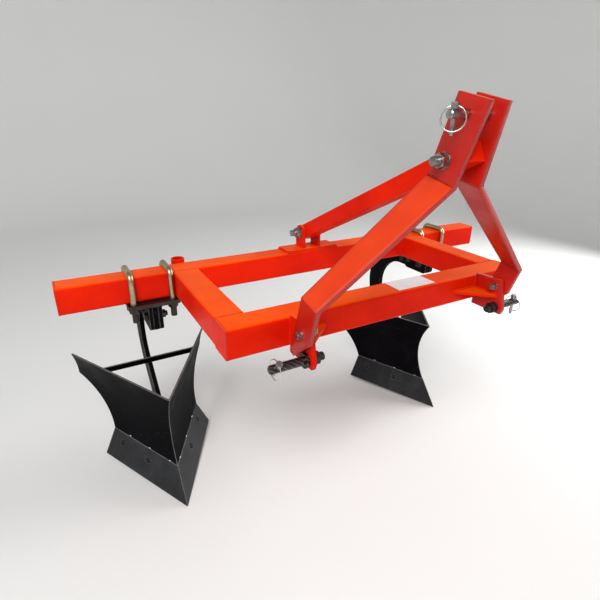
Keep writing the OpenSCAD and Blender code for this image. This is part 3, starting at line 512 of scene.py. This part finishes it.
def beadTree(look):
    tree, source = startTree("weldBeads", Bead_Size=look["frameSize"], Step=look["step"],
                             Uneven=look["uneven"], Seed=look["frameSeed"], Material=None)
    points, turn = alongLines(tree, source["Geometry"], source["Step"], "X")
    wobble = put(tree, "FunctionNodeRandomValue", {"data_type": "FLOAT"}, Min=-1.0, Max=1.0,
                 Seed=source["Seed"])
    chance = [socket for socket in wobble.outputs if socket.enabled][0]
    factor = put(tree, "ShaderNodeMath", {"operation": "MULTIPLY_ADD"}, n0=chance, n1=source["Uneven"],
                 n2=1.0).outputs[0]
    size = maths(tree, "MULTIPLY", source["Bead Size"], factor)
    scale = put(tree, "ShaderNodeCombineXYZ", X=maths(tree, "MULTIPLY", size, look["flat"]), Y=size, Z=size)
    drop = put(tree, "GeometryNodeMeshUVSphere", Segments=8, Rings=6, Radius=1.0).outputs["Mesh"]
    drops = put(tree, "GeometryNodeInstanceOnPoints", Points=points, Instance=drop, Rotation=turn,
                Scale=scale.outputs[0]).outputs[0]
    smooth = put(tree, "GeometryNodeSetShadeSmooth", Geometry=drops).outputs[0]
    put(tree, "NodeGroupOutput", Geometry=endTree(tree, smooth, source["Material"]))
    return tree


def bake(name, tree, mesh, body, **inputs):
    # run a tree on a mesh, and keep what it makes as one plain mesh that rides on a body
    carrier = bpy.data.objects.new(name + "Carrier", mesh)
    bpy.context.scene.collection.objects.link(carrier)
    modifier = carrier.modifiers.new("build", "NODES")
    modifier.node_group = tree
    for item in tree.interface.items_tree:
        key = item.name.replace(" ", "_")
        if item.in_out == "INPUT" and key in inputs:
            modifier[item.identifier] = inputs[key]
    bpy.context.view_layer.update()
    graph = bpy.context.evaluated_depsgraph_get()
    made = carrier.evaluated_get(graph)
    shape = bpy.data.meshes.new_from_object(made, preserve_all_data_layers=True, depsgraph=graph)
    bpy.data.objects.remove(carrier)
    # empty material slots go
    while None in list(shape.materials):
        shape.materials.pop(index=list(shape.materials).index(None))
    piece = bpy.data.objects.new(name, shape)
    bpy.context.scene.collection.objects.link(piece)
    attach(piece, body)
    print(name, len(shape.polygons), "faces")
    return piece


def polylines(name, lines):
    verts, edges = [], []
    for line in lines:
        start = len(verts)
        verts += [Vector(point) for point in line]
        edges += [(start + i, start + i + 1) for i in range(len(line) - 1)]
    mesh = bpy.data.meshes.new(name)
    mesh.from_pydata(verts, edges, [])
    return mesh


def bothSides(lines):
    return lines + [[(-x, y, z) for x, y, z in line] for line in lines]


beads = beadTree(weldLook)
barLow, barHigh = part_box("toolbar")
beamLow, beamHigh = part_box("front_beam")
railLow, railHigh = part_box("side_rail_right")
plateLow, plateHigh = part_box("hitch_plate_right")
gussetLow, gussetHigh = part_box("hitch_gussets")
baseLow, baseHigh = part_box("brace_base_plate")
lugLow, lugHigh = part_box("brace_lugs")
socketLow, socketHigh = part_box("stand_socket")


def weld(name, lines, body, size, seed, paint):
    mesh = polylines(name + "Path", lines)
    return bake(name, beads, mesh, body, Bead_Size=size, Step=weldLook["step"], Uneven=weldLook["uneven"],
                Seed=seed, Material=paint)


def rectangle(x0, x1, y0, y1, z):
    return [(x0, y0, z), (x1, y0, z), (x1, y1, z), (x0, y1, z), (x0, y0, z)]


def frameWelds(look):
    # the right half's lines, then their mirror images, then those that have none
    c, skin = look["corner"], look["skin"]
    low, top = barLow[2], barHigh[2]
    inner, outer = railLow[0], railHigh[0]
    barFace, beamFace, beamFront = railHigh[1], railLow[1], beamLow[1]

    def under(y, end):
        return [(inner + c, y, low - skin), (end, y, low - skin)]

    def over(y):
        return [(inner + c, y, top - look["grooveDown"]), (outer - c, y, top - look["grooveDown"])]

    def upright(x, y):
        return [(x, y, low + c), (x, y, top - c)]

    lines = [
        # rail against the toolbar, clear of the U-bolt beside it
        under(barFace + look["underIn"], outer - look["uboltRoom"]),
        upright(inner - skin, barFace - skin),
        over(barFace + look["grooveIn"]),
        # rail against the front beam
        over(beamFace - look["grooveIn"]),
        upright(inner - skin, beamFace + skin),
        under(beamFace - look["underIn"], outer - c),
        # hitch plate against the beam on both sides
        upright(plateLow[0] - skin, beamFront - skin),
        upright(plateHigh[0] + skin, beamFront - skin),
    ]
    # gusset along the plate and the beam, above and below
    for z in (gussetHigh[2] + skin, gussetLow[2] - skin):
        x, y = plateLow[0] - skin, beamFront - skin
        lines.append([(x, gussetLow[1] + look["gussetFront"], z), (x, beamFront - look["gussetRear"], z)])
        lines.append([(plateLow[0] - look["gussetGap"], y, z), (plateLow[0] - look["gussetReach"], y, z)])
    # outer side of each brace lug
    x, z = lugHigh[0] + skin, baseHigh[2] + skin
    lines.append([(x, lugLow[1] + look["lugInset"], z), (x, lugHigh[1] - look["lugInset"], z)])
    lines = bothSides(lines)
    # round the brace's base plate, and up both sides of the stand socket
    lines.append(rectangle(baseLow[0] - skin, baseHigh[0] + skin, baseLow[1] - skin, baseHigh[1] + skin,
                           baseLow[2] + look["baseRise"]))
    middle = (socketLow[0] + socketHigh[0]) / 2
    for x in (middle - look["socketHalf"], middle + look["socketHalf"]):
        lines.append(upright(x, barHigh[1] + look["socketBehind"]))
    return lines


def capSeam(look, low, high):
    # a closed line round a tube's end, in a plane square to X
    corner = look["corner"]
    x, radius = high[0] + look["seamOut"], corner - look["seamSink"]
    y0, y1, z0, z1 = low[1] + corner, high[1] - corner, low[2] + corner, high[2] - corner
    line = []
    for y, z, start in ((y1, z1, 0), (y0, z1, 90), (y0, z0, 180), (y1, z0, 270)):
        for turn in (0, 30, 60, 90):
            angle = math.radians(start + turn)
            line.append((x, y + radius * math.cos(angle), z + radius * math.sin(angle)))
    return line + line[:1]


def capSeams(look):
    beamSeam = capSeam(look, beamLow, beamHigh)
    return bothSides([capSeam(look, barLow, barHigh), beamSeam[:look["beamSeamPoints"]]])


# a mast leg's upper bend, where its two flats are welded
bendLook = {
    "left": (-0.0375, -0.4256, 1.0933),     # middle of the weld
    "right": (0.0375, -0.4416, 1.0933),
    "width": 0.080,             # of the leg along the bend
    "slope": 12.0,
}


def mastWelds(look):
    slope = math.radians(look["slope"])
    run, rise = look["width"] / 2 * math.cos(slope), look["width"] / 2 * math.sin(slope)
    places = [look[side] for side in ("left", "right")]
    return [[(x, y - run, z - rise), (x, y + run, z + rise)] for x, y, z in places]


frameBeads = weld("frameWelds", frameWelds(weldLook), "frame", weldLook["frameSize"], weldLook["frameSeed"],
                  looks["orange_paint"])
capBeads = weld("capSeams", capSeams(weldLook), "frame", weldLook["seamSize"], weldLook["seamSeed"],
                looks["orange_paint"])
mastBeads = weld("mastWelds", mastWelds(bendLook), "frame", weldLook["frameSize"], weldLook["mastSeed"],
                 mastAndShadePaint)


# a ridger body: welds where its shank and strut meet the other pieces, and tacks on the shares' joint
ridgerLook = {
    "wingAngle": 30.0,          # between a wing's face and the row, in degrees
    "cheekInset": 0.003,        # how far a cheek's weld ends short of its two edges
    "strutFront": 0.0056,       # how deep a strut's front welds sit in from its ends
    "strutRear": 0.0007,        # and its rear ones
    "strutInset": 0.001,
    "shankHalf": 0.0080,        # half the shank's thickness
    "shankSide": 0.0012,        # how far beside the shank its seams run
    "seamLow": 0.034,           # heights between which a seam is looked for, and the steps
    "seamHigh": 0.330,
    "seamStep": 0.004,
    "seamOut": 0.0006,          # how far behind the plates it lies
    "rayStart": 0.7,            # rays look forward for the plates from here, behind the body,
    "probeSide": 0.05,          # and sideways for the shank, from this far beside it
    "probeBehind": 0.004,       # and this far behind the plates
    "probeMiss": 0.001,         # a ray that ends further in or out has missed the shank
    "tacks": ((0.035, 0.1065), (0.135, 0.1135), (0.236, 0.1215)),   # run and height on the joint
    "tackStart": 0.075,         # where the runs start, along Y
    "tackReach": 0.2,           # how far outside the plates their rays start
    "tackHalf": 0.0022,         # half the length of a tack
    "tackSize": 0.0028,         # half its width
}


def surface(*names):
    verts, polygons = [], []
    for name in names:
        mesh = nodes[name].data
        start = len(verts)
        verts += [vertex.co.copy() for vertex in mesh.vertices]
        polygons += [[start + i for i in polygon.vertices] for polygon in mesh.polygons]
    return BVHTree.FromPolygons(verts, polygons)


def plates(side):
    return ("shares_" + side, "mouldboard_" + side + "_outer", "mouldboard_" + side + "_inner")


def wingWays(look):
    # for each wing: the way its face looks, and the way it runs back, both level
    turn = math.radians(look["wingAngle"])
    return [(Vector((way * math.cos(turn), -math.sin(turn), 0)),
             Vector((way * math.sin(turn), math.cos(turn), 0))) for way in (-1, 1)]


def shankSeam(look, shell, shank, centre, way):
    # up one side of the shank, wherever it touches the plates in front of it
    path = []
    for i in range(int((look["seamHigh"] - look["seamLow"]) / look["seamStep"])):
        z = look["seamLow"] + i * look["seamStep"]
        start = Vector((centre + way * (look["shankHalf"] + look["shankSide"]), look["rayStart"], z))
        hit = shell.ray_cast(start, Vector((0, -1, 0)))[0]
        if hit is None:
            continue
        start = Vector((centre + way * look["probeSide"], hit.y + look["probeBehind"], z))
        probe = shank.ray_cast(start, Vector((-way, 0, 0)))[0]
        if probe is not None and abs(probe.x - centre) < look["shankHalf"] + look["probeMiss"]:
            path.append((hit.x, hit.y + look["seamOut"], z))
    return path


def ridgerWelds(side, look):
    skin = weldLook["skin"]
    bracketLow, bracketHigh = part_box("shank_bracket_" + side)
    strutLow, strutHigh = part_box("strut_" + side)
    centre = (bracketLow[0] + bracketHigh[0]) / 2
    lines = []
    # cheeks under the clamp plate
    y0, y1, z = bracketLow[1] + look["cheekInset"], bracketHigh[1] - look["cheekInset"], bracketHigh[2] - skin
    for x in (bracketLow[0] - skin, bracketHigh[0] + skin):
        lines.append([(x, y0, z), (x, y1, z)])
    # strut ends against the wings
    z0, z1 = strutLow[2] + look["strutInset"], strutHigh[2] - look["strutInset"]
    for end, inward in ((strutLow[0], 1), (strutHigh[0], -1)):
        for y, depth in ((strutLow[1] - skin, look["strutFront"]), (strutHigh[1] + skin, look["strutRear"])):
            x = end + inward * depth
            lines.append([(x, y, z0), (x, y, z1)])
    # shank against the frog and the wings
    shell, shank = surface("frog_" + side, *plates(side)), surface("shank_" + side)
    seams = [shankSeam(look, shell, shank, centre, way) for way in (-1, 1)]
    return lines + [seam for seam in seams if len(seam) > 1], centre


def jointTacks(side, centre, look):
    shell = surface(*plates(side))
    lines = []
    for outward, along in wingWays(look):
        for run, height in look["tacks"]:
            start = Vector((centre, look["tackStart"], height)) + along * run + outward * look["tackReach"]
            hit = shell.ray_cast(start, -outward)[0]
            if hit is not None:
                lines.append([hit - along * look["tackHalf"], hit + along * look["tackHalf"]])
    return lines


for number, side in enumerate(("left", "right")):
    body = "ridger_" + side
    lines, centre = ridgerWelds(side, ridgerLook)
    bodyBeads = weld(body + "_welds", lines, body, weldLook["bodySize"], weldLook["bodySeed"] + number,
                     looks["black_paint"])
    tacks = weld(body + "_tacks", jointTacks(side, centre, ridgerLook), body, ridgerLook["tackSize"],
                 weldLook["tackSeed"] + number, looks["chrome_wire"])


# share bolt heads: a steel rim and a dark socket on each, set on the plate by one tree
headLook = {
    "radius": 0.0119,
    "rim": 0.0005,              # half the thickness of the rim
    "rimSteps": 28,
    "rimSides": 8,
    "socket": 0.0050,           # half the width of the socket over its corners
    "socketDepth": 0.0006,
    "sides": 6,
    "lean": 23.0,               # how far a share leans back from upright, in degrees
    "lift": 0.0004,             # how far the rim and socket stand off the bolt's face
    "apart": 2.2,               # faces nearer than this, in radii, belong to one bolt
    "aligned": 0.999,           # least cosine between a face that counts and the share's own way
}


def headTree(look):
    tree, source = startTree("boltHeads", Radius=look["radius"], Rim=look["rim"], Socket=look["socket"],
                             Sides=look["sides"], Material=None, Socket_Material=None)
    facing = put(tree, "GeometryNodeInputNamedAttribute", {"data_type": "FLOAT_VECTOR"}, Name="facing")
    turn = put(tree, "FunctionNodeAlignRotationToVector", {"axis": "Z"}, Vector=facing.outputs["Attribute"])
    points = put(tree, "GeometryNodeMeshToPoints", Mesh=source["Geometry"]).outputs[0]
    ring = "GeometryNodeCurvePrimitiveCircle"
    circle = put(tree, ring, Resolution=look["rimSteps"], Radius=source["Radius"]).outputs["Curve"]
    wire = put(tree, ring, Resolution=look["rimSides"], Radius=source["Rim"]).outputs["Curve"]
    rim = put(tree, "GeometryNodeCurveToMesh", Curve=circle, Profile_Curve=wire).outputs["Mesh"]
    rim = put(tree, "GeometryNodeSetShadeSmooth", Geometry=rim).outputs[0]
    socket = put(tree, "GeometryNodeMeshCylinder", Vertices=source["Sides"], Radius=source["Socket"],
                 Depth=look["socketDepth"]).outputs["Mesh"]
    join = put(tree, "GeometryNodeJoinGeometry")
    for shape, material in ((rim, "Material"), (socket, "Socket Material")):
        copies = put(tree, "GeometryNodeInstanceOnPoints", Points=points, Instance=shape,
                     Rotation=turn.outputs[0]).outputs[0]
        tree.links.new(endTree(tree, copies, source[material]), join.inputs[0])
    put(tree, "NodeGroupOutput", Geometry=join.outputs[0])
    return tree


def boltHeads(side, look):
    # the flat faces of the bolts that look out of the share, gathered bolt by bolt
    lean, apart = math.radians(look["lean"]), look["radius"] * look["apart"]
    found = []
    for outward, _ in wingWays(ridgerLook):
        facing = outward * math.cos(lean) + Vector((0, 0, math.sin(lean)))
        seats = []
        for polygon in nodes["share_bolts_" + side].data.polygons:
            if polygon.normal.dot(facing) < look["aligned"]:
                continue
            near = [seat for seat in seats if (seat[0] / seat[1] - polygon.center).length < apart]
            if near:
                near[0][0] += polygon.center * polygon.area
                near[0][1] += polygon.area
            else:
                seats.append([polygon.center * polygon.area, polygon.area])
        found += [(place / area + facing * look["lift"], facing) for place, area in seats]
    return found


heads = headTree(headLook)
for side in ("left", "right"):
    found = boltHeads(side, headLook)
    mesh = bpy.data.meshes.new("headPoints")
    mesh.from_pydata([place for place, _ in found], [], [])
    facings = mesh.attributes.new("facing", "FLOAT_VECTOR", "POINT")
    for i, (_, facing) in enumerate(found):
        facings.data[i].vector = facing
    piece = bake("ridger_" + side + "_boltHeads", heads, mesh, "ridger_" + side, Radius=headLook["radius"],
                 Rim=headLook["rim"], Socket=headLook["socket"], Sides=headLook["sides"],
                 Material=looks["dark_steel"], Socket_Material=looks["black_paint"])


# screw threads: one turn of a ridge, repeated along each bolt end
boltLook = {
    "pitch": 0.0022,            # the drawn thread is coarser than the real one, to read at this size
    "depth": 0.11,              # of a ridge, half of it in the rod, as a share of the rod's radius
    "flank": 0.4,               # half the ridge's width along the rod, as a share of the pitch
    "turnSteps": 18,
    "ubolt": 0.009,             # radii of the rods that carry a thread
    "stud": 0.010,
    "footBolt": 0.006,
    "braceBolt": 0.010,
    "shankBolt": 0.008,
    "tip": 0.0012,              # how far a thread stays back from a bolt's free end
    "footTip": 0.0008,          # and from a mast foot bolt's
    "shankHead": 0.012,         # half the width of a shank bolt's head
    "braceBolts": ((0.1869, 0.833), (-0.430, 1.135)),   # y and z of the brace's two bolts
}
alongX, alongZ = 0, 2


def threadTree(look):
    tree, source = startTree("screwThreads", Pitch=look["pitch"], Depth=look["depth"], Material=None)
    rod = put(tree, "GeometryNodeInputNamedAttribute", {"data_type": "FLOAT"}, Name="rod").outputs[0]
    points, turn = alongLines(tree, source["Geometry"], source["Pitch"], "Z")
    scale = put(tree, "ShaderNodeCombineXYZ", X=rod, Y=rod, Z=source["Pitch"]).outputs[0]
    spiral = put(tree, "GeometryNodeCurveSpiral", Resolution=look["turnSteps"], Rotations=1.0,
                 Start_Radius=1.0, End_Radius=1.0, Height=1.0).outputs["Curve"]
    upright = put(tree, "GeometryNodeSetCurveNormal", {"mode": "Z_UP"}, Curve=spiral).outputs["Curve"]
    ridge = put(tree, "GeometryNodeCurvePrimitiveQuadrilateral", {"mode": "KITE"}, Width=source["Depth"],
                Bottom_Height=look["flank"], Top_Height=look["flank"]).outputs["Curve"]
    turnMesh = put(tree, "GeometryNodeCurveToMesh", Curve=upright, Profile_Curve=ridge, Fill_Caps=True)
    turns = put(tree, "GeometryNodeInstanceOnPoints", Points=points, Instance=turnMesh.outputs["Mesh"],
                Rotation=turn, Scale=scale).outputs[0]
    put(tree, "NodeGroupOutput", Geometry=endTree(tree, turns, source["Material"]))
    return tree


def thread(name, ends, body, slotName):
    # ends: two points and the rod's radius each, from the free end towards its nut
    mesh = polylines(name + "Axes", [(tip, face) for tip, face, _ in ends])
    rods = mesh.attributes.new("rod", "FLOAT", "POINT")
    for i, (_, _, radius) in enumerate(ends):
        rods.data[2 * i].value = radius
        rods.data[2 * i + 1].value = radius
    piece = bake(name, threads, mesh, body, Pitch=boltLook["pitch"], Depth=boltLook["depth"],
                 Material=looks[slotName])


def freeEnds(bolts, nuts, radius, axis, places, way):
    # free ends beyond the nuts, along one axis
    boltBox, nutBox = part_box(bolts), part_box(nuts)
    corner = 0 if way < 0 else 1
    ends = []
    for place in places:
        tip, face = list(place), list(place)
        tip[axis] = boltBox[corner][axis] - way * boltLook["tip"]
        face[axis] = nutBox[corner][axis]
        ends.append((tip, face, radius))
    return ends


def innerEnds(bolts, nuts, radius, back):
    # free ends that look at the middle plane, one on each side of it
    low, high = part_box(bolts)
    y, z = (low[1] + high[1]) / 2, (low[2] + high[2]) / 2
    tip, face = (min(abs(vertex.co.x) for vertex in nodes[name].data.vertices) for name in (bolts, nuts))
    return [((way * (tip + back), y, z), (way * face, y, z), radius) for way in (-1, 1)]


threads = threadTree(boltLook)
for side in ("left", "right"):
    body = "ridger_" + side
    low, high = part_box("ubolts_" + side)
    radius = boltLook["ubolt"]
    rows = (low[1] + radius, high[1] - radius)
    places = [(x, y, 0) for x in (low[0] + radius, high[0] - radius) for y in rows]
    ends = freeEnds("ubolts_" + side, "ubolt_nuts_" + side, radius, alongZ, places, -1)
    thread(body + "_uboltThreads", ends, body, "yellow_zinc")
    low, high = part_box("shank_bolts_" + side)
    middle, inset = (low[2] + high[2]) / 2, boltLook["shankHead"]
    places = [(0, y, middle) for y in (low[1] + inset, high[1] - inset)]
    ends = freeEnds("shank_bolts_" + side, "shank_nuts_" + side, boltLook["shankBolt"], alongX, places, 1)
    thread(body + "_shankThreads", ends, body, "dark_steel")

studEnds = innerEnds("lower_link_pin_right", "lower_link_nuts", boltLook["stud"], boltLook["tip"])
thread("studThreads", studEnds, "frame", "dark_steel")
footEnds = innerEnds("foot_bolts", "foot_nuts", boltLook["footBolt"], boltLook["footTip"])
thread("footThreads", footEnds, "frame", "plated_steel")
bracePlaces = [(0, y, z) for y, z in boltLook["braceBolts"]]
braceEnds = freeEnds("brace_bolts", "brace_nuts", boltLook["braceBolt"], alongX, bracePlaces, -1)
thread("braceThreads", braceEnds, "frame", "plated_steel")


# backdrop: one bowl, a flat floor that curves up into a wall
stageLook = {
    "floorRadius": 4.2,
    "bend": 1.6,                # radius of the curve from floor to wall
    "bendSteps": 10,
    "wall": 3.8,                # height of the wall above the curve
    "sides": 72,
    "colour": rgb(0.82, 0.82, 0.81),
    "tint": rgb(0.79, 0.79, 0.78),
    "tintScale": 0.8,
    "roughness": 0.9,
    "grainScale": 60.0,
    "grainStrength": 0.02,
}


def bowl(look):
    radius, bend, sides = look["floorRadius"], look["bend"], look["sides"]
    bends = [math.radians(90 * i / look["bendSteps"]) for i in range(1, look["bendSteps"] + 1)]
    profile = [(radius / 2, 0.0), (radius, 0.0)]
    profile += [(radius + bend * math.sin(angle), bend * (1 - math.cos(angle))) for angle in bends]
    profile += [(radius + bend, bend + look["wall"])]
    verts, faces = [(0.0, 0.0, 0.0)], []
    for r, z in profile:
        angles = [2 * math.pi * i / sides for i in range(sides)]
        verts += [(r * math.cos(angle), r * math.sin(angle), z) for angle in angles]
    for i in range(sides):
        j = (i + 1) % sides
        faces.append((0, 1 + i, 1 + j))
        for k in range(len(profile) - 1):
            a, b = 1 + k * sides, 1 + (k + 1) * sides
            faces.append((a + i, b + i, b + j, a + j))
    mesh = bpy.data.meshes.new("backdrop")
    mesh.from_pydata(verts, [], faces)
    for polygon in mesh.polygons:
        polygon.use_smooth = True
    return mesh


def backdrop(look):
    mesh = bowl(look)
    material, tree, place = startMaterial("backdropPaper")
    tint = mixColour(tree, noise(tree, place, look["tintScale"]), look["colour"], look["tint"])
    normal = put(tree, "ShaderNodeBump", Strength=look["grainStrength"],
                 Height=noise(tree, place, look["grainScale"])).outputs[0]
    finishSurface(material, tree, Base_Color=tint, Roughness=look["roughness"], Normal=normal)
    mesh.materials.append(material)
    floor = bpy.data.objects.new("backdrop", mesh)
    bpy.context.scene.collection.objects.link(floor)


backdrop(stageLook)

# two soft lamps and an even sky
lampLook = {
    "keyLight": {"place": (-2.1, -2.1, 3.4), "target": (0.0, 0.0, 0.5), "size": 2.0, "power": 130.0},
    "rightLight": {"place": (3.3, 0.0, 1.6), "target": (-0.3, 0.0, 0.2), "size": 2.4, "power": 105.0},
}
skyLook = {"colour": rgb(1.0, 1.0, 1.0), "strength": 0.30}


def areaLight(name, look):
    lamp = bpy.data.lights.new(name, "AREA")
    lamp.shape = "DISK"
    lamp.size = look["size"]
    lamp.energy = look["power"]
    light = bpy.data.objects.new(name, lamp)
    light.location = look["place"]
    light.visible_camera = False
    aim = Vector(look["target"]) - Vector(look["place"])
    light.rotation_euler = aim.to_track_quat("-Z", "Y").to_euler()
    bpy.context.scene.collection.objects.link(light)


for name, look in lampLook.items():
    areaLight(name, look)
bpy.context.scene.view_settings.view_transform = "Standard"
world = bpy.data.worlds.new("studio")
world.use_nodes = True
sky = world.node_tree.nodes["Background"].inputs
sky["Color"].default_value = skyLook["colour"]
sky["Strength"].default_value = skyLook["strength"]
bpy.context.scene.world = world


# camera where the photograph was taken from
cameraLook = {
    "place": (-0.7917, -1.12757, 1.22965),
    "azimuth": 30.14,
    "pitch": 23.44,
    "roll": 1.16,
    "lens": 26.35,
    "sensor": 36.0,
}


def photoCamera(look):
    turn, tip, lean = (math.radians(look[key]) for key in ("azimuth", "pitch", "roll"))
    forward = Vector((math.sin(turn) * math.cos(tip), math.cos(turn) * math.cos(tip), -math.sin(tip)))
    right = Vector((math.cos(turn), -math.sin(turn), 0.0))
    upward = right.cross(forward)
    rightLeaned = right * math.cos(lean) + upward * math.sin(lean)
    upLeaned = upward * math.cos(lean) - right * math.sin(lean)
    data = bpy.data.cameras.new("camera")
    data.lens = look["lens"]
    data.sensor_width = look["sensor"]
    camera = bpy.data.objects.new("camera", data)
    camera.matrix_world = Matrix((rightLeaned, upLeaned, -forward)).transposed().to_4x4()
    camera.location = look["place"]
    bpy.context.scene.collection.objects.link(camera)
    bpy.context.scene.camera = camera


photoCamera(cameraLook)
print("stage, lights and camera set")
